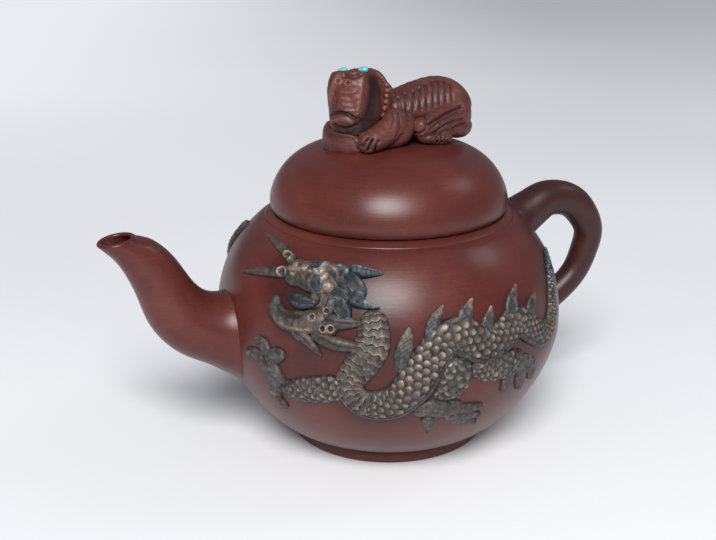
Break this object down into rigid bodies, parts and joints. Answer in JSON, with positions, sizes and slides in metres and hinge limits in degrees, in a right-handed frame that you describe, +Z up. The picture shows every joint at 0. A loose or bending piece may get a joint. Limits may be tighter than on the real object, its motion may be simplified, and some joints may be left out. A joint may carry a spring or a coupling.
{
  "type": "chinese teapot",
  "caption": "Round unglazed red clay teapot with a curved spout, loop handle, lift-off domed lid with a lying tiger knob, and raised bronze-coloured dragons round the body.",
  "frame": {"origin": "middle of the bounding box, on the table under the foot ring; the pot's upright axis is 7.85 mm towards +X from it", "axes": "+Z up; the spout points to -X and the handle to +X; the pictured side faces -Y"},
  "size_m": [0.201, 0.1356, 0.1409],
  "materials": {
    "red_clay": "unglazed fired clay, burnished to a soft sheen",
    "tiger_clay": "unglazed fired clay, carved",
    "bronze_slip": "clay relief painted bronze-grey, worn on its edges",
    "crest_slip": "clay relief painted slate blue-black",
    "turquoise": "glossy turquoise bead"
  },
  "bodies": {
    "pot": {"pot_body": "red_clay", "mouth_rim": "red_clay", "foot_ring": "red_clay", "spout": "red_clay", "spout_sieve": "red_clay", "handle": "red_clay", "front_coil": "bronze_slip", "front_head": "bronze_slip", "front_mane": "crest_slip", "front_jaw": "bronze_slip", "front_tongue": "crest_slip", "front_beard": "bronze_slip", "front_upper_leaf": "bronze_slip", "front_lower_leaf": "bronze_slip", "front_upper_horn": "crest_slip", "front_lower_horn": "crest_slip", "front_upper_whisker": "bronze_slip", "front_lower_whisker": "bronze_slip", "front_neck_fin": "bronze_slip", "front_back_fin_a": "bronze_slip", "front_back_fin_b": "bronze_slip", "front_back_fin_c": "bronze_slip", "front_back_fin_d": "bronze_slip", "front_back_fin_e": "bronze_slip", "front_foreleg": "bronze_slip", "front_hind_leg_a": "bronze_slip", "front_hind_leg_b": "bronze_slip", "back_coil": "bronze_slip", "back_head": "bronze_slip", "back_mane": "crest_slip", "back_jaw": "bronze_slip", "back_tongue": "crest_slip", "back_beard": "bronze_slip", "back_upper_leaf": "bronze_slip", "back_lower_leaf": "bronze_slip", "back_upper_horn": "crest_slip", "back_lower_horn": "crest_slip", "back_upper_whisker": "bronze_slip", "back_lower_whisker": "bronze_slip", "back_neck_fin": "bronze_slip", "back_back_fin_a": "bronze_slip", "back_back_fin_b": "bronze_slip", "back_back_fin_c": "bronze_slip", "back_back_fin_d": "bronze_slip", "back_back_fin_e": "bronze_slip", "back_foreleg": "bronze_slip", "back_hind_leg_a": "bronze_slip", "back_hind_leg_b": "bronze_slip"},
    "lid": {"lid_dome": "red_clay", "lid_flange": "red_clay", "tiger_body": "tiger_clay", "tiger_head": "tiger_clay", "tiger_ruff": "tiger_clay", "tiger_foreleg_near": "tiger_clay", "tiger_foreleg_far": "tiger_clay", "tiger_hind_leg_near": "tiger_clay", "tiger_hind_leg_far": "tiger_clay", "tiger_tail": "tiger_clay", "tiger_eye_near": "turquoise", "tiger_eye_far": "turquoise"}
  },
  "joints": [
    {"name": "lid_lift", "type": "slide", "parent": "pot", "child": "lid", "axis": [0, 0, 1], "range_m": [0, 0.11]}
  ]
}
